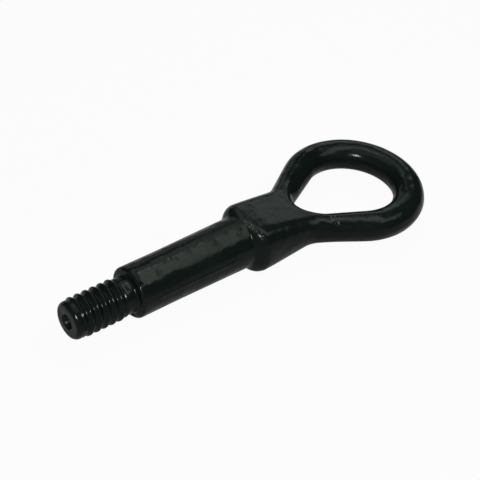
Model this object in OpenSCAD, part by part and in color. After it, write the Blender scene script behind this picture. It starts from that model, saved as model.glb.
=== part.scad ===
// Screw-in towing eye, one forging. Millimetres. X runs along the axis from the thread to the ring,
// Z is square to the plane of the ring, and the origin is the middle of the shoulder that seats
// against the socket in the car.

/* [Whole eye] */
// Flat end of the stem to the far side of the ring
overall_len = 193.3; // [160:0.5:240]

/* [Threaded stem] */
// Shoulder to the flat end of the stem
stem_len = 30; // [20:0.5:45]
// Plain blank that the thread is rolled on, diameter
blank_d = 16.8; // [12:0.1:22]
// Thread over its crests, diameter
thread_d = 18; // [13:0.1:24]
// Thread at its roots, diameter
root_d = 15.4; // [11:0.1:20]
// Thread pitch
pitch = 3.75; // [2:0.05:6]
// Hand of the thread, -1 is left and 1 is right
hand = -1; // [-1:2:1]
// Angle about the axis at which a crest line would meet the end face
thread_phase = 144; // [0:1:360]
// End face to where the ridge has its full height
thread_start = 4.8; // [3:0.1:10]
// Length over which the ridge rises out of the blank
run_in = 1.8; // [0.5:0.1:4]
// Shoulder to where the ridge begins to fade
thread_stop = 6.2; // [4:0.1:12]
// Length over which the ridge fades into the neck
run_out = 2; // [0.5:0.1:4]

/* [Stem end] */
// Flat end face, diameter
end_d = 13.4; // [8:0.1:18]
// Length of the rounded end edge
end_round = 2.2; // [0.5:0.1:4]
// Centre hole at the end face, diameter
centre_d = 7; // [3:0.1:10]
// Centre hole, full angle of its cone
centre_angle = 60; // [45:1:120]
// Pilot at the bottom of the centre hole, diameter
pilot_d = 2.4; // [1:0.1:4]
// Depth of the pilot below the cone
pilot_depth = 2; // [0.5:0.1:5]
// Rounded nub where the ridge begins, diameter
nub_d = 2.4; // [1:0.1:4]
// How far the nub stands out of the blank
nub_out = 0.6; // [0.1:0.1:1.2]
// End face to the nub
nub_x = 3.2; // [1:0.1:6]
// Angle of the nub about the axis
nub_angle = 175; // [0:1:360]

/* [Neck and shank] */
// Plain neck next to the shoulder, diameter
neck_d = 16.4; // [12:0.1:22]
// Length of the neck clear of the thread
neck_len = 4.4; // [2:0.1:10]
// Fillet where the neck meets the shoulder
neck_fillet = 1; // [0.2:0.1:2.5]
// Shank at the shoulder, diameter
shank_d = 23; // [18:0.1:30]
// Shoulder to where the shank begins to widen towards the collar
plain_len = 21; // [5:0.5:40]
// Shank at the collar, diameter
shank_end_d = 24; // [18:0.1:32]
// Rounding of the shoulder's outer edge
shoulder_round = 1.5; // [0.3:0.1:3]
// Depth that the shank's core runs into the collar
core_depth = 14; // [6:0.5:20]
// Diameter of the core at its buried end
core_d = 19; // [10:0.5:24]
// Fillet between the shank and the collar's sides
collar_fillet = 2.2; // [0.5:0.1:5]

/* [Collar and fork] */
// Shoulder to the collar's front
collar_x = 59.6; // [40:0.1:80]
// Collar across its flat sides
collar_w = 32; // [26:0.1:44]
// Collar from top to bottom
collar_h = 24.4; // [16:0.1:34]
// Corner radius of the collar seen from above
collar_corner = 5.8; // [1:0.1:9]
// Concave radius where the collar's side turns into a leg
fork_radius = 11.4; // [4:0.1:30]
// Angle of each leg's outside to the axis
leg_angle = 31.5; // [20:0.5:50]
// Middle of the fork's inner radius to the middle of the hole
crotch_reach = 26.4; // [16:0.1:36]
// Fork's inner radius at half height
crotch_r = 8.2; // [2:0.1:14]
// Width of the rounded edge inside the fork
crotch_edge = 3.8; // [1:0.1:8]
// Width of the rounded edge round the outside
rim_edge = 7.4; // [3:0.1:10]
// Width of the rounded edge over the collar's front, where the shank runs into it
front_edge = 2.6; // [1:0.1:6]

/* [Ring] */
// How far the middle of the hole lies before the middle of the ring, towards the shank
hole_offset = 0.5; // [0:0.1:3]
// Ring over its outside, diameter
ring_d = 67.8; // [50:0.1:90]
// Hole across, diameter
hole_d = 40; // [25:0.1:60]
// Bar of the ring from top to bottom
ring_h = 13.6; // [8:0.1:22]
// Middle of the fork's inner radius to where the thickness has come down to the ring's
thin_reach = 0.5; // [-10:0.5:20]
// Boxiness of the section's rounded edges, 2 is an ellipse
edge_power = 2.25; // [2:0.05:4]

/* [Hidden] */
paint = "#1d201f";

// Smooth change from 0 at a to 1 at b
function ease(v, a, b) = let (u = min(1, max(0, (v - a) / (b - a)))) u * u * (3 - 2 * u);
function unit(v) = v / norm(v);
function polar(r, a) = [r * cos(a), r * sin(a)];
function mix(a, b, u) = a + (b - a) * u;

// Stem with its rolled thread. Each row is a ring of points square to the axis
stem_sides = 36;
row_gap = 0.42;
end_rows = [for (a = [0:18:90]) [-stem_len + end_round * (1 - cos(a)),
    end_d / 2 + (blank_d - end_d) / 2 * sin(a)]];
thread_from = -stem_len + end_round;
thread_to = 1 - neck_len;
row_count = ceil((thread_to - thread_from) / row_gap);

// How much of the ridge there is, and how high q stands between root and crest
function ridge(x) = ease(x, -stem_len + thread_start - run_in, -stem_len + thread_start)
    * (1 - ease(x, -thread_stop, -thread_stop + run_out));
function height(x, t) = let (turn = (x + stem_len) / pitch - hand * (t - thread_phase) / 360)
    pow(0.5 + 0.5 * cos(360 * turn), 0.85);
function core_r(x) = mix(blank_d, neck_d - 0.5, ease(x, -thread_stop - 1, -thread_stop + run_out)) / 2;
function stem_r(x, t) = mix(core_r(x), mix(root_d, thread_d, height(x, t)) / 2, ridge(x));

module stem()
{
    n = stem_sides;
    points = concat(
        [for (row = end_rows) for (j = [0:n - 1]) concat([row[0]], polar(row[1], 360 * j / n))],
        [for (k = [1:row_count]) let (x = mix(thread_from, thread_to, k / row_count))
            for (j = [0:n - 1]) concat([x], polar(stem_r(x, 360 * j / n), 360 * j / n))]);
    last = len(points) / n - 1;
    sides = [for (k = [0:last - 1]) for (j = [0:n - 1])
        let (a = k * n + j, b = k * n + (j + 1) % n) each [[a, a + n, b + n], [a, b + n, b]]];
    ends = [[for (j = [0:n - 1]) j], [for (j = [n - 1:-1:0]) last * n + j]];
    polyhedron(points, concat(ends, sides));
}

// Centre hole left by the lathe: a cone with a short pilot
module centre_hole()
{
    cone = (centre_d - pilot_d) / 2 / tan(centre_angle / 2);
    translate([-stem_len, 0, 0]) rotate([0, 90, 0]) {
        translate([0, 0, -0.01]) cylinder(h = cone + 0.01, d1 = centre_d, d2 = pilot_d, $fn = 48);
        cylinder(h = cone + pilot_depth, d = pilot_d, $fn = 48);
    }
}

// The thread's ridge begins in a small rounded nub
module nub()
{
    at = polar(blank_d / 2 + nub_out - nub_d / 2, nub_angle);
    translate([nub_x - stem_len, at[0], at[1]]) sphere(d = nub_d, $fn = 24);
}

// Neck, shoulder and shank, turned about the axis
module shank()
{
    r = shank_d / 2;
    e = shoulder_round;
    f = neck_fillet;
    rotate([0, 90, 0]) rotate_extrude($fn = 96) {
        polygon([[0, -neck_len - 0.4], [neck_d / 2 - 0.4, -neck_len - 0.4], [neck_d / 2, -neck_len],
            [neck_d / 2, -f], [neck_d / 2 + f, 0], [r - e, 0], [r - e, e], [0, e]]);
        difference() {
            translate([neck_d / 2, -f]) square([f, f + 0.2]);
            translate([neck_d / 2 + f, -f]) circle(r = f, $fn = 48);
        }
        translate([r - e, e]) circle(r = e, $fn = 48);
        polygon([[0, e], [r, e], [r, plain_len], [shank_end_d / 2, collar_x],
            [shank_end_d / 2, collar_x + front_edge],
            [core_d / 2, collar_x + core_depth], [0, collar_x + core_depth]]);
    }
}

// Plan of the head as stations round the hole: outside point, its inward direction,
// point on the hole's edge, and the direction away from the hole
half_w = collar_w / 2;
r_out = ring_d / 2;
r_in = hole_d / 2;
ring_x = overall_len - stem_len - r_out;
hole_x = ring_x - hole_offset;
crotch_x = hole_x - crotch_reach;
thin_x = crotch_x + thin_reach;
slant = asin((r_in - crotch_r) / (hole_x - crotch_x));
leg_top = [ring_x, 0] + polar(r_out, 90 + leg_angle);
bend_x = leg_top[0] - (leg_top[1] - half_w) / tan(leg_angle);
bend_t = fork_radius * tan(leg_angle / 2);
leg_low = [bend_x + bend_t * cos(leg_angle), half_w + bend_t * sin(leg_angle)];
hole_top = [hole_x, 0] + polar(r_in, 90 + slant);
hole_low = [crotch_x, 0] + polar(crotch_r, 90 + slant);
hole_side = polar(1, 90 + slant);
ring_steps = 22;
corner_steps = 5;
function crotch(u) = let (d = polar(1, mix(90 + slant, 180, u))) [[crotch_x, 0] + crotch_r * d, d];
half_plan = concat(
    [for (k = [0:ring_steps]) let (a = (90 + leg_angle) * k / ring_steps, b = (90 + slant) * k / ring_steps)
        [[ring_x, 0] + polar(r_out, a), -polar(1, a), [hole_x, 0] + polar(r_in, b), polar(1, b)]],
    [for (k = [1:3]) [mix(leg_top, leg_low, k / 3), -polar(1, 90 + leg_angle),
        mix(hole_top, hole_low, k / 3), hole_side]],
    [for (k = [1:4]) let (d = polar(1, -90 + leg_angle * (1 - k / 4)), c = crotch(0.1 * k))
        [[bend_x - bend_t, half_w + fork_radius] + fork_radius * d, d, c[0], c[1]]],
    [for (k = [1:4]) let (c = crotch(0.4 + 0.07 * k))
        [mix([bend_x - bend_t, half_w], [collar_x + collar_corner, half_w], k / 4), [0, -1], c[0], c[1]]],
    [for (k = [1:corner_steps])
        let (u = k / corner_steps, d = polar(1, 90 + 90 * u), c = crotch(0.68 + 0.16 * u))
        [[collar_x + collar_corner, half_w - collar_corner] + collar_corner * d, -d, c[0], c[1]]],
    [for (k = [1:3]) let (c = crotch(0.84 + 0.16 * k / 3))
        [[collar_x, (half_w - collar_corner) * (1 - k / 3)], [1, 0], c[0], c[1]]]);
function flip(v) = [v[0], -v[1]];
plan = concat(half_plan, [for (k = [len(half_plan) - 2:-1:1])
    [for (v = half_plan[k]) flip(v)]]);

// Half the thickness at a place along the axis
function half_h(x) = mix(collar_h, ring_h, ease(x, collar_x, thin_x)) / 2;

// Upper half of a station's section, from its outside edge to the hole's edge
edge_steps = 5;
function rim(s) = mix(rim_edge, front_edge,
    s[1][0] * s[1][0] * (1 - ease(s[0][0], collar_x, collar_x + collar_corner + 1)));
function section(s) = let (
    across = norm(s[2] - s[0]), d = (s[2] - s[0]) / across, w = 2 / edge_power,
    wo = min(rim(s) / max(0.6, d * s[1]), 0.46 * across),
    inner = mix(crotch_edge, rim_edge, ease(s[2][0], crotch_x - crotch_r, crotch_x)),
    wi = min(inner / max(0.4, -(d * s[3])), 0.46 * across),
    rise = [for (k = [0:edge_steps]) let (a = 90 * k / edge_steps) [1 - pow(cos(a), w), pow(sin(a), w)]])
    concat(
        [for (q = rise) let (p = s[0] + d * wo * q[0]) [p[0], p[1], half_h(p[0]) * q[1]]],
        [for (u = [1:2]) let (p = s[0] + d * mix(wo, across - wi, u / 3)) [p[0], p[1], half_h(p[0])]],
        [for (k = [edge_steps:-1:0]) let (q = rise[k], p = s[2] - d * wi * q[0])
            [p[0], p[1], half_h(p[0]) * q[1]]]);

// Collar, fork and ring in one closed loop of sections
module head()
{
    top = [for (s = plan) section(s)];
    m = len(top[0]);
    all = 2 * m - 2;
    points = [for (c = top) each concat(c, [for (k = [m - 2:-1:1]) [c[k][0], c[k][1], -c[k][2]]])];
    n = len(plan);
    faces = [for (i = [0:n - 1]) for (k = [0:all - 1])
        let (a = i * all + k, b = i * all + (k + 1) % all,
            c = ((i + 1) % n) * all + (k + 1) % all, d = ((i + 1) % n) * all + k)
            each [[a, b, c], [a, c, d]]];
    polyhedron(points, faces);
}

// Fillet against the collar's two sides, tangent to the shank and to the collar's corner. It is
// flattened so that it dies out over the top and bottom
module side_fillet()
{
    r = shank_end_d / 2;
    f = collar_fillet;
    reach = collar_corner + f;
    rise = r + f - (half_w - collar_corner);
    from = collar_x + collar_corner - sqrt(reach * reach - rise * rise);
    tip = [half_w - collar_corner + collar_corner * rise / reach,
        collar_x + collar_corner - collar_corner * (collar_x + collar_corner - from) / reach];
    scale([1, 1, 0.995 * r / tip[0]]) rotate([0, 90, 0]) rotate_extrude($fn = 96) difference() {
        polygon([[r - 1.5, from], [r + 0.02, from], [tip[0], tip[1]], [tip[0], tip[1] + 1.2],
            [r - 1.5, tip[1] + 1.2]]);
        translate([r + f, from]) circle(r = f, $fn = 48);
    }
}

module tow_eye()
{
    color(paint) difference() {
        union() {
            stem();
            nub();
            shank();
            side_fillet();
            head();
        }
        centre_hole();
    }
}

tow_eye();
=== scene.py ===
# %% [markdown]
# A screw-in towing eye, as it lies in a car's tool kit: a stem with a coarse rolled thread, a round
# shank, a squared collar and a forked ring, all one steel forging under glossy black paint. The
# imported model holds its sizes. This script could paint that solid as it is, but a solid comes as
# loose flat triangles, and gloss paint shows every one of them. So the visible skin is modelled again
# in one smooth piece, with the soft runouts and fillets of a forging, and then painted, lit and framed.

# %% Load the frame
import math

import bmesh
import bpy
from mathutils import Matrix, Vector


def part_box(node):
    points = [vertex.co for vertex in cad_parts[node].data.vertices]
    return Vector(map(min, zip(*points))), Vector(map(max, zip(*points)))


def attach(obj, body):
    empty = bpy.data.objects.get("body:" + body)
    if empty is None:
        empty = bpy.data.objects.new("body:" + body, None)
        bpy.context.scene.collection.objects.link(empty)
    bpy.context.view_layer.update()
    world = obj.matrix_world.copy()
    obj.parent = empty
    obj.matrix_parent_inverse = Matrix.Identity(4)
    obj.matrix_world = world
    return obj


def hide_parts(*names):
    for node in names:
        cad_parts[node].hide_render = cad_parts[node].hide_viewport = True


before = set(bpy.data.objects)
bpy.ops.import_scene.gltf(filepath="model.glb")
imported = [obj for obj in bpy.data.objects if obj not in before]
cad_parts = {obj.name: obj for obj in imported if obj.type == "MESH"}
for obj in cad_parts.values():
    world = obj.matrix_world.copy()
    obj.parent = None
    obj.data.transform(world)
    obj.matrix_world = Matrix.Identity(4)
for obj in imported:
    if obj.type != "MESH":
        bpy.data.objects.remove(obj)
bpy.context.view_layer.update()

MM = 0.001
low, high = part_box("tow_eye")
print("solid from", [round(v / MM, 1) for v in low], "to", [round(v / MM, 1) for v in high], "mm")

# %% [markdown]
# All sizes below are millimetres, as on a workshop drawing, and the finished mesh is scaled to metres
# once. The frame's axes are kept: X runs along the eye from thread to ring, Z is square to the ring,
# and x = 0 is the shoulder. What the solid's box already says is read from it, so the skin can't
# drift away from the solid. The other sizes stand at the step that needs them first.

# %% Sizes that the solid gives
END_X = low.x / MM
FAR_X = high.x / MM
RING_R = high.y / MM
COLLAR_H = high.z / MM
print("length", round(FAR_X - END_X, 1), "ring radius", round(RING_R, 2), "half height", round(COLLAR_H, 2))

# %% [markdown]
# A few helpers for round things. `ease` is a smooth step, `mix` goes from one value to another, and
# `rise` is the profile of a rounded edge: how much of the full height a forging has reached at some
# distance in from its outline. A bevel could round the edges too, but the ring's bar has no flat left
# between its rounds, and a rule gives that form at any section. The power is a little over 2, so the
# bar is slightly fuller than round.

# %% Helpers for round forms
FULLNESS = 2.25


def ease(v, a, b):
    u = min(1.0, max(0.0, (v - a) / (b - a)))
    return u * u * (3 - 2 * u)


def mix(a, b, u):
    return a + (b - a) * u


def rise(distance, rim):
    t = min(1.0, max(0.0, 1 - distance / rim))
    return (1 - t ** FULLNESS) ** (1 / FULLNESS)


def polar(r, a):
    return Vector((r * math.cos(a), r * math.sin(a)))


print("share of the height at a quarter and half of the rim:", [round(rise(d, 1), 2) for d in (0.25, 0.5)])

# %% [markdown]
# Helpers for even steps. Rows of a mesh look best when their points are evenly spaced, because the
# gloss shows where a long face meets a short one. `spread` walks along a finely drawn line and drops
# its points at even distances.

# %% Helpers for even steps


def steps_between(a, b, count):
    """Even steps from a to b, without a itself."""
    return [mix(a, b, k / count) for k in range(1, count + 1)]


def quarter_turn(count, first=0):
    """Even angles over a quarter turn."""
    return [math.pi / 2 * k / count for k in range(first, count + 1)]


def spread(points, count):
    """Evenly spaced points along a fine polyline."""
    run = [0.0]
    for p, q in zip(points, points[1:]):
        run.append(run[-1] + (q - p).length)
    out, k = [], 0
    for i in range(count + 1):
        s = run[-1] * i / count
        while k < len(run) - 2 and run[k + 1] < s:
            k += 1
        span = run[k + 1] - run[k]
        out.append(points[k].lerp(points[k + 1], (s - run[k]) / span if span else 0.0))
    return out


print("a quarter turn in three steps:", [round(math.degrees(a)) for a in quarter_turn(3)])

# %% [markdown]
# The stem. On the real eye the thread is rolled into a plain round blank, so the ridges stand a
# little above the blank and the roots lie below it, and both are rounded. The thread is left-handed.
# Its ridge starts in a small nub near the end, reaches full height within half a turn and fades out
# before the neck. A Screw modifier could turn one profile into a helix, but its ends would be cut off
# square. Here `stem_radius` says how far the surface is from the axis at any place and angle, so the
# thread can run in and out softly.

# %% Thread and stem
BLANK_R, CREST_R, ROOT_R, PITCH = 8.4, 9.0, 7.7, 3.75
HAND = -1
THREAD_START, RUN_IN, THREAD_STOP, RUN_OUT = 4.8, 1.8, -6.2, 2.0
THREAD_PHASE, CREST_POWER = 144.0, 0.85
NECK_R, NECK_EASE = 8.2, 1.0
NUB_X, NUB_ANGLE, NUB_R, NUB_OUT, NUB_POWER = 3.2, 175.0, 1.3, 0.55, 0.7


def ridge_share(x):
    start = END_X + THREAD_START
    return ease(x, start - RUN_IN, start) * (1 - ease(x, THREAD_STOP, THREAD_STOP + RUN_OUT))


def ridge_height(x, angle):
    turn = (x - END_X) / PITCH - HAND * (angle - THREAD_PHASE) / 360
    return (0.5 + 0.5 * math.cos(2 * math.pi * turn)) ** CREST_POWER


def stem_radius(x, angle):
    core = mix(BLANK_R, NECK_R, ease(x, THREAD_STOP - NECK_EASE, THREAD_STOP + RUN_OUT))
    r = mix(core, mix(ROOT_R, CREST_R, ridge_height(x, angle)), ridge_share(x))
    around = math.radians((angle - NUB_ANGLE + 180) % 360 - 180) * BLANK_R
    off = math.hypot(x - END_X - NUB_X, around) / NUB_R
    return r + NUB_OUT * max(0.0, 1 - off * off) ** NUB_POWER


print("thread:", round((THREAD_STOP - END_X - THREAD_START) / PITCH, 1), "full turns")

# %% [markdown]
# The collar and the shank. A section square to the axis is a circle in the shank and a wide,
# flat-topped shape in the collar. Two primitives and a Boolean would leave a sharp seam with ragged
# faces along it. Instead, one closed section is carried through both: the larger of the two forms
# counts at each angle, as where a forged block grows out of a bar, and a later pass rounds that
# corner into a fillet.

# %% Sizes of collar and shank
SHANK_R, SHANK_END_R, PLAIN_LEN = 11.5, 12.0, 21.0
COLLAR_X, COLLAR_HALF, COLLAR_CORNER, FRONT_EDGE = 59.6, 16.0, 5.8, 2.6
RING_H, THIN_X = 6.8, 103.0
COLLAR_RIM, BAR_RIM, RIM_FROM, RIM_TO = 8.6, 7.4, 62.0, 96.0


def half_height(x):
    return mix(COLLAR_H, RING_H, ease(x, COLLAR_X, THIN_X))


def outer_rim(x):
    return mix(COLLAR_RIM, BAR_RIM, ease(x, RIM_FROM, RIM_TO))


def shank_radius(x):
    return mix(SHANK_R, SHANK_END_R, min(1.0, max(0.0, (x - PLAIN_LEN) / (COLLAR_X - PLAIN_LEN))))


def front_arc(x, radius):
    """How far a rounded front corner has drawn the outline in, at x."""
    t = min(1.0, max(0.0, 1 - (x - COLLAR_X) / radius))
    return radius * (1 - math.sqrt(1 - t * t))


print("half height at collar, hole and ring:",
      [round(half_height(x), 1) for x in (COLLAR_X, RIM_TO, THIN_X)])

# %% [markdown]
# The collar's own outline has no simple formula, so `collar_reach` finds where a line from the axis
# leaves it by halving: thirty guesses, each half as far off as the one before. A shrinkwrap could do
# the same on a mesh, but it needs a target mesh first.

# %% Section of collar and shank
CORE_FADE = (2.0, 9.0)
FURTHEST, HALVINGS = 30.0, 30
QUARTER, FINE = 24, 160


def collar_reach(x, angle):
    """Distance from the axis to the collar's surface at an angle, found by halving."""
    if x < COLLAR_X:
        return 0.0
    wide = COLLAR_HALF - front_arc(x, COLLAR_CORNER)
    tall = half_height(x) - front_arc(x, FRONT_EDGE)
    inside, outside = 0.0, FURTHEST
    for _ in range(HALVINGS):
        r = (inside + outside) / 2
        y, z = r * math.cos(angle), r * math.sin(angle)
        if y < wide and z < tall * rise(wide - y, min(outer_rim(x), wide)):
            inside = r
        else:
            outside = r
    return inside


def quarter_section(x):
    """The section from the side (z = 0) up to the top (y = 0), in even steps."""
    core = shank_radius(x) * (1 - ease(x, COLLAR_X + CORE_FADE[0], COLLAR_X + CORE_FADE[1]))
    fine = []
    for a in quarter_turn(FINE):
        r = max(core, collar_reach(x, a))
        fine.append(Vector((x, r * math.cos(a), r * math.sin(a))))
    fine[-1].y = 0.0
    fine[0].z = 0.0
    return spread(fine, QUARTER)


print("section in the shank:", len(quarter_section(PLAIN_LEN)), "points in a quarter")

# %% [markdown]
# The fork and the ring seen from above. The outside runs along the collar, turns through a hollow
# curve into a straight leg and then round the ring. The hole is a pear: a blunt round at the crotch,
# two straight edges and a large round that is not quite concentric with the ring. A torus joined to
# two rods would be quicker, but it has neither the pear nor the soft fork. `outer_gap` and
# `inner_gap` say how far in from either outline a point lies. Together with `rise` they give the
# height of the surface anywhere, so no table of points is needed.

# %% Outlines of the fork and the ring
FORK_R, LEG_ANGLE = 11.4, math.radians(31.5)
CROTCH_X, CROTCH_R, CROTCH_EDGE = 102.5, 8.2, 3.8
HOLE_R, HOLE_OFFSET = 20.0, 0.5
RING_X = FAR_X - RING_R
HOLE_X = RING_X - HOLE_OFFSET
ring_mid, hole_mid, crotch_mid = Vector((RING_X, 0)), Vector((HOLE_X, 0)), Vector((CROTCH_X, 0))
leg_dir = polar(1, LEG_ANGLE)
leg_out = polar(1, LEG_ANGLE + math.pi / 2)
leg_top = ring_mid + RING_R * leg_out
bend_x = leg_top.x - (leg_top.y - COLLAR_HALF) / math.tan(LEG_ANGLE)
bend_t = FORK_R * math.tan(LEG_ANGLE / 2)
fork_mid = Vector((bend_x - bend_t, COLLAR_HALF + FORK_R))
leg_low = fork_mid - FORK_R * leg_out
slant = math.asin((HOLE_R - CROTCH_R) / (HOLE_X - CROTCH_X))
edge_dir, edge_out = polar(1, slant), polar(1, slant + math.pi / 2)
edge_low, edge_top = crotch_mid + CROTCH_R * edge_out, hole_mid + HOLE_R * edge_out
print("ring centre at", round(RING_X, 1), "fork bends at", round(bend_x, 1),
      "hole's edges slant", round(math.degrees(slant), 1), "degrees")

# %% Distances in from the outlines


def outer_gap(p):
    if p.x < fork_mid.x:
        return COLLAR_HALF - p.y
    off = p - fork_mid
    if off.dot(leg_dir) < 0:
        return off.length - FORK_R
    if (p - leg_top).dot(leg_dir) < 0:
        return (leg_low - p).dot(leg_out)
    return RING_R - (p - ring_mid).length


def inner_gap(p):
    along = (p - edge_low).dot(edge_dir)
    if along < 0:
        return (p - crotch_mid).length - CROTCH_R
    if along < (edge_top - edge_low).length:
        return (p - edge_low).dot(edge_out)
    return (p - hole_mid).length - HOLE_R


def inner_rim(x):
    return mix(CROTCH_EDGE, BAR_RIM, ease(x, CROTCH_X - CROTCH_R, CROTCH_X))


def surface(p):
    height = half_height(p.x) * rise(outer_gap(p), outer_rim(p.x)) * rise(inner_gap(p), inner_rim(p.x))
    return Vector((p.x, p.y, height))


bar_mid = Vector((FAR_X - (FAR_X - HOLE_X - HOLE_R) / 2, 0))
print("half height in the middle of the bar, far end:", round(surface(bar_mid).z, 2))

# %% [markdown]
# One leg is a closed section carried from the split round to the far end of the ring. A curve with a
# bevel object would carry one fixed section, but here it changes all the way: half of the collar at
# the split, a rounded bar at the ring. So each station pairs a place on the outer outline with one on
# the hole, and the section is drawn between them. At the split it is half of the collar plus a cut
# along the middle plane, so its line has a corner there, which straightens out over the first
# stations.

# %% Stations along a leg
SPLIT_X = 76.0
FORK_STEPS, LEG_STEPS, RING_STEPS = 20, 18, 72
SIDE_STEPS, BEND_STEPS = 8, 12
low_angle = math.pi / 2 + LEG_ANGLE
hole_angle = math.pi / 2 + slant


def fork_outlines():
    turns = [k / BEND_STEPS for k in range(BEND_STEPS + 1)]
    side = [Vector((mix(SPLIT_X, fork_mid.x, k / SIDE_STEPS), COLLAR_HALF)) for k in range(SIDE_STEPS + 1)]
    bend = [fork_mid - FORK_R * polar(1, math.pi / 2 + LEG_ANGLE * u) for u in turns[1:]]
    tip = [crotch_mid + CROTCH_R * polar(1, math.pi - (math.pi - hole_angle) * u) for u in turns]
    return side + bend, tip


def stations():
    outer, inner = fork_outlines()
    rows = list(zip(spread(outer, FORK_STEPS), spread(inner, FORK_STEPS)))
    for u in steps_between(0, 1, LEG_STEPS):
        rows.append((leg_low.lerp(leg_top, u), edge_low.lerp(edge_top, u)))
    for k in range(1, RING_STEPS + 1):
        u = 1 - k / RING_STEPS
        rows.append((ring_mid + polar(RING_R, low_angle * u), hole_mid + polar(HOLE_R, hole_angle * u)))
    return rows


print("stations along a leg:", len(stations()))

# %% [markdown]
# The sections themselves. Where the two dies met, the real eye has a faint ridge round the sides of
# fork and ring, which is what is left of the trimmed flash. It could be a bump in the paint, but it
# lies on the outline, where a bump shows nothing, so it is lifted in the mesh.

# %% Sections of the legs
HALF_SECTION, PATH_STEPS, STRAIGHTEN = 44, 120, 0.8
FLASH, FLASH_REACH = 0.22, 2.4


def row_path(number, outside, inside):
    """The plan line of one section, from the outer outline to the hole."""
    corner = Vector((SPLIT_X, 0))
    straight = (number / FORK_STEPS) ** STRAIGHTEN if number < FORK_STEPS else 1.0
    path = []
    for k in range(PATH_STEPS + 1):
        t = 0.5 - 0.5 * math.cos(math.pi * k / PATH_STEPS)
        bent = outside.lerp(corner, 2 * t) if t < 0.5 else corner.lerp(inside, 2 * t - 1)
        path.append(bent.lerp(outside.lerp(inside, t), straight))
    return path


def with_flash(half, outward):
    """Lifts the parting line: a faint ridge that stands out of the sides at half height."""
    for i, p in enumerate(half):
        side = outward if i < len(half) / 2 else -outward
        lift = FLASH * max(0.0, 1 - p.z / FLASH_REACH)
        half[i] = p + Vector((side.x, side.y, 0)) * lift
    return half


def top_rows():
    """For each station, the upper half of its section in even steps."""
    middle = PATH_STEPS // 2
    rows = []
    for number, (outside, inside) in enumerate(stations()):
        fine = [surface(p) for p in row_path(number, outside, inside)]
        fine[0].z = fine[-1].z = 0.0
        if number:
            rows.append(with_flash(spread(fine, HALF_SECTION), (outside - inside).normalized()))
        else:
            rows.append(spread(fine[: middle + 1], QUARTER)
                        + spread(fine[middle:], HALF_SECTION - QUARTER)[1:])
    return rows


split = top_rows()
print("leg sections:", len(split), "of", len(split[0]), "points, top half")

# %% [markdown]
# Now the mesh itself. It starts as a small capped circle at the bottom of the lathe centre hole. That
# ring is extruded again and again: out of the hole, over the end face, along the stem and the shank
# to the split. Spin could turn the plain parts, but not a thread or a collar, and one way for all
# leaves no joints. `grow` does one such step and moves the new ring to its place.

# %% Extruding ring by ring
AROUND = 4 * QUARTER


def ring_edges(ring):
    pairs = zip(ring, ring[1:] + ring[:1])
    return [edge for a, b in pairs for edge in a.link_edges if edge.other_vert(a) is b]


def grow(bm, ring, places):
    made = bmesh.ops.extrude_edge_only(bm, edges=ring_edges(ring))
    fresh = {v for v in made["geom"] if isinstance(v, bmesh.types.BMVert)}
    after = []
    for vert, place in zip(ring, places):
        new = next(e.other_vert(vert) for e in vert.link_edges if e.other_vert(vert) in fresh)
        new.co = place
        after.append(new)
    return after


def round_ring(x, radius):
    """A ring about the axis. radius is a number, or a rule of x and angle in degrees."""
    out = []
    for i in range(AROUND):
        a = 2 * math.pi * i / AROUND
        r = radius(x, math.degrees(a)) if callable(radius) else radius
        out.append(Vector((x, r * math.cos(a), r * math.sin(a))))
    return out


def below(points):
    """The same points on the underside."""
    return [Vector((p.x, p.y, -p.z)) for p in points]


def full_ring(quarter):
    """A quarter section, mirrored to all four."""
    up = quarter + [Vector((p.x, -p.y, p.z)) for p in reversed(quarter[:-1])]
    return up + below(reversed(up[1:-1]))


print("each ring has", AROUND, "points")

# %% [markdown]
# The profile of the turned part, as pairs of place and radius. A lathe drills the centre hole with a
# 60 degree cone, and the sharp edges are broken a little, because a real edge always catches some
# light. The same pairs could be a small curve turned by a Screw modifier; as rings they join the
# thread without a seam.

# %% Profile of the end, the neck and the shoulder
CENTRE_R, PILOT_R, PILOT_DEPTH = 3.5, 1.2, 2.0
CONE_SIDE = math.radians(30)
CONE_STEPS, FACE_STEPS, END_STEPS = 8, 6, 10
NECK_STEPS, SEAT_STEPS, EDGE_STEPS = 6, 3, 8
PILOT_BREAK = ((PILOT_DEPTH - 0.5, 0.0), (0.15, 0.0), (0.0, 0.06))
RIM_BREAK = ((0.25, -0.12), (0.06, 0.02), (0.0, 0.2))
END_R, END_ROUND = 6.7, 2.2
NECK_FILLET, SHOULDER_ROUND = 1.0, 1.5


def end_profile():
    cone = (CENTRE_R - PILOT_R) / math.tan(CONE_SIDE)
    deep = END_X + cone
    wall = zip(steps_between(deep, END_X, CONE_STEPS), steps_between(PILOT_R, CENTRE_R, CONE_STEPS))
    pairs = [(deep + inward, PILOT_R + wider) for inward, wider in PILOT_BREAK]
    pairs += list(wall)[:-1]
    pairs += [(END_X + inward, CENTRE_R + wider) for inward, wider in RIM_BREAK]
    pairs += [(END_X, r) for r in steps_between(pairs[-1][1], END_R, FACE_STEPS)]
    pairs += [(END_X + END_ROUND * (1 - math.cos(a)), mix(END_R, BLANK_R, math.sin(a)))
              for a in quarter_turn(END_STEPS, 1)]
    return pairs


def shoulder_profile():
    foot, core = NECK_R + NECK_FILLET, SHANK_R - SHOULDER_ROUND
    pairs = [(-NECK_FILLET * (1 - math.sin(a)), NECK_R + NECK_FILLET * (1 - math.cos(a)))
             for a in quarter_turn(NECK_STEPS)]
    pairs += [(0.0, r) for r in steps_between(foot, core, SEAT_STEPS)[:-1]]
    pairs += [(SHOULDER_ROUND * (1 - math.cos(a)), core + SHOULDER_ROUND * math.sin(a))
              for a in quarter_turn(EDGE_STEPS)]
    return pairs


print("end profile:", len(end_profile()), "rings, shoulder:", len(shoulder_profile()), "rings")

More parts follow.
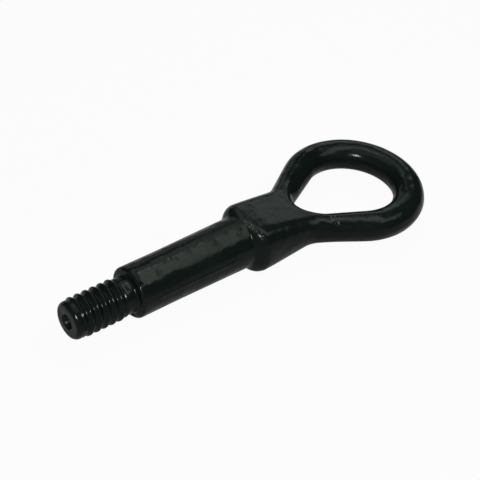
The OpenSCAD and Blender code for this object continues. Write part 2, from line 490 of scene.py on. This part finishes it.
# %% [markdown]
# The shank's rings, closer together where the collar grows out of it. Two things are added to them.
# `round_fillet` averages neighbouring rings, which rounds the inner corner at the collar like the
# radius in the die. It could be a bevel, but the corner isn't one clean edge all round. And along
# each side runs the thin raised line where the dies met.

# %% Rings of the shank
FINER_X = 54.0
SHANK_STEPS, FINER_STEPS, CORNER_STEPS, COLLAR_STEPS = 36, 16, 16, 9
FILLET_FIRST, FILLET_LAST, FILLET_PASSES = 40, 66, 14
SEAM_COLUMNS, SEAM_LIFT, SEAM_DRAW = (3, 45), 0.17, 0.5
SEAM_FROM, SEAM_IN, SEAM_TO, SEAM_OUT = 6.0, 4, 57.0, 10


def shank_places():
    xs = steps_between(SHOULDER_ROUND, FINER_X, SHANK_STEPS)
    xs += steps_between(FINER_X, COLLAR_X, FINER_STEPS)
    xs += [COLLAR_X + COLLAR_CORNER * (1 - math.cos(a)) for a in quarter_turn(CORNER_STEPS, 1)]
    return xs + steps_between(COLLAR_X + COLLAR_CORNER, SPLIT_X, COLLAR_STEPS)


def round_fillet(rows, first, last, passes):
    """Softens the run of the rows along the eye, and leaves their roundness alone."""
    for _ in range(passes):
        held = [[p.copy() for p in row] for row in rows]
        for j in range(first, last):
            for i in range(len(rows[j])):
                rows[j][i] = held[j][i].lerp((held[j - 1][i] + held[j + 1][i]) / 2, 0.5)
    return rows


def with_seam(places):
    """Along the shank the dies met a little above the middle, and left a thin raised line."""
    x = places[0].x
    share = ease(x, SEAM_FROM, SEAM_FROM + SEAM_IN) * (1 - ease(x, SEAM_TO - SEAM_OUT, SEAM_TO))
    for i in SEAM_COLUMNS:
        for beside in (i - 1, i + 1):
            places[beside] = places[beside].lerp(places[i], SEAM_DRAW * share)
        off = Vector((0, places[i].y, places[i].z))
        places[i] = places[i] + off.normalized() * SEAM_LIFT * share
    return places


quarters = [quarter_section(x) for x in shank_places()]
quarters = round_fillet(quarters, FILLET_FIRST, FILLET_LAST, FILLET_PASSES)
quarters[-1] = split[0][: QUARTER + 1]
print("shank and collar:", len(quarters), "rings")

# %% [markdown]
# First the turned part grows, from the pilot hole's floor to the split in the collar. The thread
# takes a ring every fifth of a millimetre, because its crests are round and catch sharp lights.

# %% Make the stem, the shank and the collar
PILOT_FLOOR, THREAD_STEP = 0.5, 0.2
NECK_LEN, NECK_PLACES = 4.4, (-2.6, -1.8)


def turned_part(bm):
    """Grows the whole turned part and gives back its last ring."""
    ends = end_profile()
    ring = bmesh.ops.create_circle(bm, cap_ends=True, segments=AROUND, radius=PILOT_R)["verts"]
    for vert, place in zip(ring, round_ring(ends[0][0] + PILOT_FLOOR, PILOT_R)):
        vert.co = place
    for x, r in ends:
        ring = grow(bm, ring, round_ring(x, r))
    start, stop = ends[-1][0], 1 - NECK_LEN
    for x in steps_between(start, stop, round((stop - start) / THREAD_STEP)):
        ring = grow(bm, ring, round_ring(x, stem_radius))
    for x in NECK_PLACES:
        ring = grow(bm, ring, round_ring(x, NECK_R))
    for x, r in shoulder_profile():
        ring = grow(bm, ring, round_ring(x, r))
    for quarter in quarters:
        ring = grow(bm, ring, with_seam(full_ring(quarter)))
    return ring


bm = bmesh.new()
ring = turned_part(bm)
print("turned part:", len(bm.faces), "faces")

# %% [markdown]
# At the split, a strip of edges goes down the crotch, which gives each leg its own closed ring. The
# two legs then grow round to the far end, where they meet and are merged. One leg could be mirrored
# instead, but grown side by side they share the crotch's points from the start.

# %% Make the legs and the ring


def crotch_strip(bm, ring, inner):
    """Edges from the top of the last ring down the crotch to its underside."""
    strip = [ring[QUARTER]]
    for place in inner + below(reversed(inner[:-1])):
        strip.append(bmesh.ops.extrude_vert_indiv(bm, verts=[strip[-1]])["verts"][0])
        strip[-1].co = place
    strip.append(ring[3 * QUARTER])
    bm.edges.new(strip[-2:])
    return strip


def grow_leg(bm, leg, side):
    """One leg from the split to the far end. side is 1 or -1."""
    for half in split[1:]:
        places = half + below(reversed(half[1:-1]))
        leg = grow(bm, leg, [Vector((p.x, p.y * side, p.z)) for p in places])


strip = crotch_strip(bm, ring, split[0][QUARTER + 1:])
grow_leg(bm, ring[: QUARTER + 1] + strip[1:] + ring[3 * QUARTER + 1:], 1)
far_half = ring[3 * QUARTER - 1: 2 * QUARTER: -1]
grow_leg(bm, ring[2 * QUARTER: QUARTER - 1: -1] + strip[1:] + far_half, -1)
print("with both legs:", len(bm.faces), "faces")

# %% [markdown]
# Doubles are merged first, so that the shell is closed, and then the normals are made consistent,
# because the second leg grew in the other direction. All faces are smooth, apart from the crest of
# the parting line, which is marked sharp so that it reads as a fine ridge. The finished mesh
# replaces the solid in the picture, and the solid stays in the simulation.

# %% Close the forging
MERGE, ON_PLANE = 0.0005, 0.001

bmesh.ops.remove_doubles(bm, verts=bm.verts, dist=MERGE)
bmesh.ops.recalc_face_normals(bm, faces=bm.faces)
bmesh.ops.scale(bm, vec=(MM, MM, MM), verts=bm.verts)
for face in bm.faces:
    face.smooth = True
for edge in bm.edges:
    if all(abs(v.co.z) < MM * ON_PLANE and v.co.x > SPLIT_X * MM for v in edge.verts):
        edge.smooth = False
open_edges = sum(1 for e in bm.edges if len(e.link_faces) != 2)
print("forging:", len(bm.faces), "faces,", open_edges, "open edges, volume",
      round(bm.calc_volume() / MM ** 3), "mm3")
mesh = bpy.data.meshes.new("forging")
bm.to_mesh(mesh)
bm.free()
forging = bpy.data.objects.new("forging", mesh)
bpy.context.collection.objects.link(forging)
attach(forging, "root")
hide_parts("tow_eye")

# %% [markdown]
# The finish is black gloss paint over a forged skin. Real paint like this isn't one flat black. It is
# a very dark green-black that varies a little, it takes the soft waves of the forging and a fine
# orange peel, and it is duller where it has been handled. The gloss could be a separate coat, but one
# specular layer is enough here, because the layer below is almost black. The shader's index of
# refraction is kept low, so that a white room doesn't turn the black paint grey, and the specular
# tint has a trace of green-blue, as the photograph's highlights do. What is the same all over the
# surface is set on the shader's own sockets.

# %% Paint
PAINT_IOR = 1.2
PAINT_TINT = (0.94, 1.0, 1.0, 1)


def link_node(tree, kind, **values):
    """A new node with its settings."""
    node = tree.nodes.new(kind)
    for name, value in values.items():
        setattr(node, name, value)
    return node


paint = bpy.data.materials.new("black_paint")
paint.use_nodes = True
tree = paint.node_tree
shader = tree.nodes["Principled BSDF"]
shader.inputs["IOR"].default_value = PAINT_IOR
shader.inputs["Specular Tint"].default_value = PAINT_TINT
coords = link_node(tree, "ShaderNodeTexCoord").outputs["Object"]
forging.data.materials.append(paint)
print("paint on", forging.name)

# %% [markdown]
# The patterns, from coarse to fine, each with its cells per metre: slow patches where the paint is a
# little duller, then the forging's waves and ripples, the paint's orange peel and the grain in it.
# Every pattern is a rule of the object's own coordinates, so it stays on the surface in any view. A
# displaced mesh could carry the waves, but it would take millions of faces.

# %% Waves, ripples, peel and grain
PATCHES, WAVES, RIPPLES = (38.0, 3.0, 0.6), (120.0, 1.0), (290.0, 1.0)
PEEL, GRAIN = (700.0, 2.0), (2200.0, 2.0, 0.6)


def noise(tree, coords, scale, detail=2.0, roughness=0.5):
    node = link_node(tree, "ShaderNodeTexNoise")
    tree.links.new(coords, node.inputs["Vector"])
    node.inputs["Scale"].default_value = scale
    node.inputs["Detail"].default_value = detail
    node.inputs["Roughness"].default_value = roughness
    return node.outputs["Fac"]


patches = noise(tree, coords, *PATCHES)
waves = noise(tree, coords, *WAVES)
ripples = noise(tree, coords, *RIPPLES)
peel = noise(tree, coords, *PEEL)
grain = noise(tree, coords, *GRAIN)
print("five patterns, the finest", round(1 / GRAIN[0] / MM, 2), "mm across")

# %% [markdown]
# The ring is smoother than the shank, so `calm` takes the fine ripples down from the fork on. It could
# be a second material with its own border, but a share that follows X fades without one. A Map Range
# node does the fading, because it goes smoothly from one range to another.

# %% Where the skin is calmer
CALM_FROM, CALM_TO, CALM_LEFT = 0.075, 0.110, 0.4


def feed(tree, node, socket, value):
    """Sets a socket to a number, or links it to another node's output."""
    if isinstance(value, bpy.types.NodeSocket):
        tree.links.new(value, node.inputs[socket])
    else:
        node.inputs[socket].default_value = value


def blend_range(tree, value, low_in, high_in, low_out, high_out):
    node = link_node(tree, "ShaderNodeMapRange", interpolation_type="SMOOTHSTEP")
    feed(tree, node, "Value", value)
    ends = ("From Min", low_in), ("From Max", high_in), ("To Min", low_out), ("To Max", high_out)
    for name, end in ends:
        feed(tree, node, name, end)
    return node.outputs["Result"]


place_x = link_node(tree, "ShaderNodeSeparateXYZ")
tree.links.new(coords, place_x.inputs[0])
calm = blend_range(tree, place_x.outputs["X"], CALM_FROM, CALM_TO, 1.0, CALM_LEFT)
print("calmer from x =", round(CALM_FROM / MM), "to", round(CALM_TO / MM), "mm")

# %% [markdown]
# The wear follows the real piece. The front edge of the collar's top is scuffed where it meets the
# shank, and so is a spot beside the crotch. It could be painted by hand on a texture, but a rule
# needs no image. `near_place` gives 1 at a place on the piece and falls to 0 at the edge of a soft
# ellipsoid, and a noise of which only the highest values count breaks that up into small chips.

# %% Scuffs
SOFT_FROM = 0.55
CHIPPED = [((61.4, -5.2, 12.0), (1.5, 5.8, 1.6)), ((63.4, -10.8, 10.4), (1.2, 1.8, 1.6)),
           ((95.5, -6.0, 7.4), (3.2, 5.0, 1.4))]
CHIPS, CHIP_FROM, CHIP_TO, CHIP_SHARE = (1700.0, 1.0), 0.54, 0.64, 0.8


def calc(tree, operation, a, b=0.0, clamp=False):
    node = link_node(tree, "ShaderNodeMath", operation=operation, use_clamp=clamp)
    feed(tree, node, 0, a)
    feed(tree, node, 1, b)
    return node.outputs[0]


def near_place(tree, coords, centre, half_sizes):
    """1 in the middle of a soft ellipsoid and 0 outside it. Sizes in millimetres."""
    shift = link_node(tree, "ShaderNodeMapping", vector_type="TEXTURE")
    tree.links.new(coords, shift.inputs["Vector"])
    shift.inputs["Location"].default_value = [v * MM for v in centre]
    shift.inputs["Scale"].default_value = [v * MM for v in half_sizes]
    length = link_node(tree, "ShaderNodeVectorMath", operation="LENGTH")
    tree.links.new(shift.outputs["Vector"], length.inputs[0])
    return blend_range(tree, length.outputs["Value"], SOFT_FROM, 1.0, 1.0, 0.0)


chipped = near_place(tree, coords, *CHIPPED[0])
for centre, half_sizes in CHIPPED[1:]:
    chipped = calc(tree, "MAXIMUM", chipped, near_place(tree, coords, centre, half_sizes))
chips = blend_range(tree, noise(tree, coords, *CHIPS), CHIP_FROM, CHIP_TO, 0.0, CHIP_SHARE)
chips = calc(tree, "MULTIPLY", chipped, chips)
print("scuffed places:", len(CHIPPED))

# %% [markdown]
# One leg has a few rubbed marks, all in one direction. Noise that is stretched along that direction
# gives strokes instead of specks. Thin meshes could be laid on as scratches, but these marks have no
# depth that would show.

# %% Rubbed marks
RUBBED = ((101.0, -17.8, 6.4), (3.6, 4.6, 2.8))
RUB_TURN, RUB_STRETCH = math.radians(58.5), (4.5, 1, 1)
STREAKS, STREAK_FROM, STREAK_TO, STREAK_SHARE = (1500.0, 0.0), 0.57, 0.7, 0.5

along = link_node(tree, "ShaderNodeMapping", vector_type="TEXTURE")
along.inputs["Rotation"].default_value = (0, 0, RUB_TURN)
along.inputs["Scale"].default_value = RUB_STRETCH
tree.links.new(coords, along.inputs["Vector"])
streaks = noise(tree, along.outputs["Vector"], *STREAKS)
streaks = blend_range(tree, streaks, STREAK_FROM, STREAK_TO, 0.0, STREAK_SHARE)
streaks = calc(tree, "MULTIPLY", near_place(tree, coords, *RUBBED), streaks)
rubbed = calc(tree, "MAXIMUM", chips, streaks)
print("rubbed place at x =", RUBBED[0][0], "mm")

# %% [markdown]
# A row of fine plain pits runs along the shank. The pits are the small dark middles of a Voronoi
# pattern's cells, gathered into loose groups by a slower noise, so that they form no sign.

# %% Pits
PITS = ((28.0, -2.2, 11.6), (15.0, 1.4, 1.6))
PIT_CELLS, PIT_FROM, PIT_TO = 1100.0, 0.18, 0.42
GROUPS, GROUP_FROM, GROUP_TO = (210.0, 1.0), 0.46, 0.56

cells = link_node(tree, "ShaderNodeTexVoronoi", feature="F1")
tree.links.new(coords, cells.inputs["Vector"])
cells.inputs["Scale"].default_value = PIT_CELLS
dot = blend_range(tree, cells.outputs["Distance"], PIT_FROM, PIT_TO, 1.0, 0.0)
groups = blend_range(tree, noise(tree, coords, *GROUPS), GROUP_FROM, GROUP_TO, 0.0, 1.0)
pitted = calc(tree, "MULTIPLY", near_place(tree, coords, *PITS), groups)
pits = calc(tree, "MULTIPLY", pitted, dot)
print("pits: cells of", round(1 / PIT_CELLS / MM, 1), "mm")

# %% [markdown]
# Colour and gloss. The base goes between two greenish blacks, and is greyer where it is worn. One flat
# colour would look like plastic. The same masks drive the roughness: patches are a little duller,
# scuffs are much duller, and the shank's end near the thread has stayed the smoothest.

# %% Colour and gloss
DARKEST, DARK = (0.0018, 0.0032, 0.0027, 1), (0.0042, 0.0064, 0.0054, 1)
WORN = (0.075, 0.085, 0.072, 1)
GLOSS, DULL, PATCH_FROM, PATCH_TO = 0.12, 0.24, 0.35, 0.7
SMOOTH_END, SMOOTH_GAIN = ((3.0, -5.0, 10.0), (10.0, 8.0, 8.0)), 0.06
RUBBED_DULL = 0.22


def blend_colour(tree, share, first, second):
    node = link_node(tree, "ShaderNodeMix", data_type="RGBA")
    tree.links.new(share, node.inputs["Factor"])
    feed(tree, node, 6, first)
    feed(tree, node, 7, second)
    return node.outputs[2]


tint = blend_colour(tree, patches, DARKEST, DARK)
tree.links.new(blend_colour(tree, rubbed, tint, WORN), shader.inputs["Base Color"])
gloss = blend_range(tree, patches, PATCH_FROM, PATCH_TO, GLOSS, DULL)
smoother = calc(tree, "MULTIPLY", near_place(tree, coords, *SMOOTH_END), SMOOTH_GAIN)
gloss = calc(tree, "SUBTRACT", gloss, smoother)
gloss = calc(tree, "ADD", gloss, calc(tree, "MULTIPLY", rubbed, RUBBED_DULL), clamp=True)
tree.links.new(gloss, shader.inputs["Roughness"])
print("roughness from", GLOSS, "to", DULL)

# %% [markdown]
# All heights are added up in millimetres and go through one Bump node, so each pattern's height can
# be read as a size. Several Bump nodes in a chain would do the same and cost more.

# %% Bump
WAVE_MM, RIPPLE_MM, PEEL_MM, GRAIN_MM, RUBBED_MM, PIT_MM = 0.55, 0.17, 0.04, 0.0025, 0.06, 0.09

fine = calc(tree, "ADD", calc(tree, "MULTIPLY", ripples, RIPPLE_MM), calc(tree, "MULTIPLY", peel, PEEL_MM))
height = calc(tree, "MULTIPLY", waves, WAVE_MM)
height = calc(tree, "ADD", height, calc(tree, "MULTIPLY", fine, calm))
height = calc(tree, "ADD", height, calc(tree, "MULTIPLY", rubbed, RUBBED_MM))
height = calc(tree, "ADD", height, calc(tree, "MULTIPLY", grain, GRAIN_MM))
height = calc(tree, "SUBTRACT", height, calc(tree, "MULTIPLY", pits, PIT_MM))
bump = link_node(tree, "ShaderNodeBump")
bump.inputs["Strength"].default_value = 1.0
bump.inputs["Distance"].default_value = MM
tree.links.new(height, bump.inputs["Height"])
tree.links.new(bump.outputs["Normal"], shader.inputs["Normal"])
print("paint:", len(tree.nodes), "nodes")

# %% [markdown]
# The camera stands where the photographer stood. Its angles, its distance and the place of the middle
# of the picture were found by fitting the eye's outline. They are turned here into Blender's lens
# and a small shift. A Track To constraint could aim it, but would lose the slight roll.

# %% Camera
SHOT_AZ, SHOT_EL, SHOT_ROLL = math.radians(44.22), math.radians(40.73), math.radians(7.35)
SHOT_DISTANCE, SHOT_SCALE = 555.6, 2.268
SHOT_MID = Vector((60.0, 0, 0))
FRAME_PX, SENSOR, NEAREST = 480, 36, 0.01
MID_PX = (238.58, 241.82)

flat = -math.cos(SHOT_EL)
away = Vector((math.sin(SHOT_AZ) * flat, math.cos(SHOT_AZ) * flat, math.sin(SHOT_EL)))
level = Vector((0, 0, 1)).cross(away).normalized()
upward = away.cross(level)
right = math.cos(SHOT_ROLL) * level + math.sin(SHOT_ROLL) * upward
up = math.cos(SHOT_ROLL) * upward - math.sin(SHOT_ROLL) * level
camera = bpy.data.objects.new("camera", bpy.data.cameras.new("camera"))
camera.data.sensor_width = SENSOR
camera.data.lens = SENSOR * SHOT_DISTANCE * SHOT_SCALE / FRAME_PX
camera.data.shift_x = (FRAME_PX / 2 - MID_PX[0]) / FRAME_PX
camera.data.shift_y = (MID_PX[1] - FRAME_PX / 2) / FRAME_PX
camera.data.clip_start = NEAREST
stand = Matrix((right, up, away)).transposed().to_4x4()
stand.translation = (SHOT_MID + SHOT_DISTANCE * away) * MM
camera.matrix_world = stand
bpy.context.collection.objects.link(camera)
bpy.context.scene.camera = camera
print("camera", round(SHOT_DISTANCE * MM, 3), "m away, lens", round(camera.data.lens, 1), "mm")

# %% [markdown]
# The room round the eye is dim, and lighter on the photographer's side than behind the eye. An even
# world would be simpler, but the dark side gives the black paint its depth. The world's colour goes
# by direction: the dot product says how far a ray points towards the light side.

# %% Room
ROOM_NEAR, ROOM_FAR = (0.37, 0.42, 0.43, 1), (0.05, 0.06, 0.065, 1)
ROOM_AZ, ROOM_FROM, ROOM_TO = math.radians(-150), -0.2, 0.9

world = bpy.data.worlds.new("room")
world.use_nodes = True
tree = world.node_tree
aim = link_node(tree, "ShaderNodeVectorMath", operation="DOT_PRODUCT")
tree.links.new(link_node(tree, "ShaderNodeTexCoord").outputs["Generated"], aim.inputs[0])
aim.inputs[1].default_value = (math.cos(ROOM_AZ), math.sin(ROOM_AZ), 0)
share = blend_range(tree, aim.outputs["Value"], ROOM_FROM, ROOM_TO, 0.0, 1.0)
tree.links.new(blend_colour(tree, share, ROOM_FAR, ROOM_NEAR), tree.nodes["Background"].inputs["Color"])
bpy.context.scene.world = world
print("room: lighter side at", round(math.degrees(ROOM_AZ)), "degrees")

# %% [markdown]
# The eye is lit as small goods are in a shop's light tent, first by flat soft boxes overhead. The
# bright strip along the shank and those on the ring are each one box mirrored in the paint. Black
# gloss paint shows little but such faces, so their places matter more than their power. The lamps
# could be meshes that glow, but area lamps give less noise. A lamp's `level` is the brightness of
# its face, where 1 is white, and its power follows from its size.

# %% Soft boxes overhead
EYE_MID = SHOT_MID * MM
BOX_UP, PATCH_UP = 0.5, 0.49
# Each box: name, range in x, range in y, height, level, tint
BOXES = [("band_box", (0.17, 0.32), (-0.38, 0.10), BOX_UP, 4.0, (0.97, 1.0, 0.86)),
         ("far_box", (0.18, 0.42), (0.10, 0.55), BOX_UP, 1.4, (0.90, 1.0, 1.0)),
         ("middle_box", (-0.16, 0.16), (-0.15, 0.35), BOX_UP, 1.2, (0.95, 1.0, 0.95)),
         ("edge_box", (0.34, 0.50), (-0.42, -0.14), BOX_UP, 3.0, (0.97, 1.0, 0.90)),
         ("patch_box", (0.160, 0.228), (0.11, 0.22), PATCH_UP, 5.0, (1.0, 1.0, 0.92))]


def add_lamp(name, shape, centre, size, level, tint):
    """A lamp face at centre, in metres from the middle of the eye, turned to face it."""
    light = bpy.data.lights.new(name, "AREA")
    light.shape = shape
    light.size, light.size_y = size
    light.energy = level * math.pi * size[0] * size[1] * (math.pi / 4 if shape == "ELLIPSE" else 1)
    light.color = tint
    lamp = bpy.data.objects.new(name, light)
    lamp.location = EYE_MID + Vector(centre)
    lamp.rotation_euler = Vector(centre).to_track_quat("Z", "Y").to_euler()
    lamp.visible_camera = False
    bpy.context.collection.objects.link(lamp)
    print(name, "power", round(light.energy, 1), "W")
    return lamp


def flat_box(name, x_range, y_range, height, level, tint):
    """A level soft box above the eye, between two places in x and two in y."""
    centre = Vector((sum(x_range) / 2, sum(y_range) / 2, height))
    size = (x_range[1] - x_range[0], y_range[1] - y_range[0])
    add_lamp(name, "RECTANGLE", centre, size, level, tint).rotation_euler = (0, 0, 0)


for box in BOXES:
    flat_box(*box)

# %% [markdown]
# Two low panels stand behind the eye for the tops of the collar and the ring, which mirror what is
# low and far from the camera. A flash beside the camera makes the sparks on crests and corners. The
# sparks could be painted white, but then they would stay when the camera moves.

# %% Low panels and the flash
PANEL_AWAY = 1.2
# Each lamp: name, shape, bearing and height angle, size, level, tint
PANELS = [("collar_panel", "RECTANGLE", (37, 24), (0.42, 0.42), 1.15, (0.90, 1.0, 1.0)),
          ("low_panel", "RECTANGLE", (62, 15), (0.7, 0.40), 0.45, (0.88, 0.98, 1.0)),
          ("spark_lamp", "ELLIPSE", (-133, 43.5), (0.26, 0.26), 85.0, (1.0, 1.0, 1.0))]


def far_place(az, el, distance):
    """A place round the middle of the eye, from its bearing, its height angle and its distance."""
    az, el = math.radians(az), math.radians(el)
    place = polar(math.cos(el) * distance, az).to_3d()
    place.z = math.sin(el) * distance
    return place


for name, shape, (az, el), size, brightness, tint in PANELS:
    add_lamp(name, shape, far_place(az, el, PANEL_AWAY), size, brightness, tint)
print("lamps in all:", len(BOXES) + len(PANELS))

# %% [markdown]
# The floor is a plain pale sheet, a hair below the lowest edge of the collar. The camera sees mostly
# plain white, with a little of the lit sheet left in it, so it reads as the white page of a shop
# photograph and still keeps the eye's soft shadow. More light would also turn it white, but would
# wash out the paint. The paint mirrors far less of that white, because the photograph's paint is
# dark down to its lower edges.

# %% Floor sheet
FLOOR_HALF, FLOOR_GAP, FLOOR_X, FLOOR_TONE = 3.0, 0.0002, 0.06, 0.42

bm = bmesh.new()
bmesh.ops.create_grid(bm, x_segments=1, y_segments=1, size=FLOOR_HALF)
bmesh.ops.translate(bm, vec=(FLOOR_X, 0, -COLLAR_H * MM - FLOOR_GAP), verts=bm.verts)
mesh = bpy.data.meshes.new("floor")
bm.to_mesh(mesh)
bm.free()
floor = bpy.data.objects.new("floor", mesh)
bpy.context.collection.objects.link(floor)
print("floor", 2 * FLOOR_HALF, "m wide")

# %% Floor finish
PAGE_SEEN, PAGE_IN_GLOSS = 0.94, 0.08

page_white = bpy.data.materials.new("floor_white")
page_white.use_nodes = True
tree = page_white.node_tree
sheet = tree.nodes["Principled BSDF"]
sheet.inputs["Base Color"].default_value = (FLOOR_TONE, FLOOR_TONE, FLOOR_TONE, 1)
sheet.inputs["Roughness"].default_value = 1.0
sheet.inputs["Specular IOR Level"].default_value = 0.0
page = link_node(tree, "ShaderNodeEmission")
seen = link_node(tree, "ShaderNodeLightPath").outputs
rays = calc(tree, "ADD", seen["Is Glossy Ray"], seen["Is Transmission Ray"], clamp=True)
rays = calc(tree, "MULTIPLY", rays, PAGE_IN_GLOSS)
rays = calc(tree, "ADD", rays, calc(tree, "MULTIPLY", seen["Is Camera Ray"], PAGE_SEEN), clamp=True)
both = link_node(tree, "ShaderNodeMixShader")
tree.links.new(rays, both.inputs["Fac"])
tree.links.new(sheet.outputs["BSDF"], both.inputs[1])
tree.links.new(page.outputs["Emission"], both.inputs[2])
tree.links.new(both.outputs["Shader"], tree.nodes["Material Output"].inputs["Surface"])
floor.data.materials.append(page_white)
print("page share for the camera", PAGE_SEEN, "and in the gloss", PAGE_IN_GLOSS)

# %% [markdown]
# Last, the view transform is Standard, so that colours come out as written.

# %% Finish
bpy.context.scene.view_settings.view_transform = "Standard"
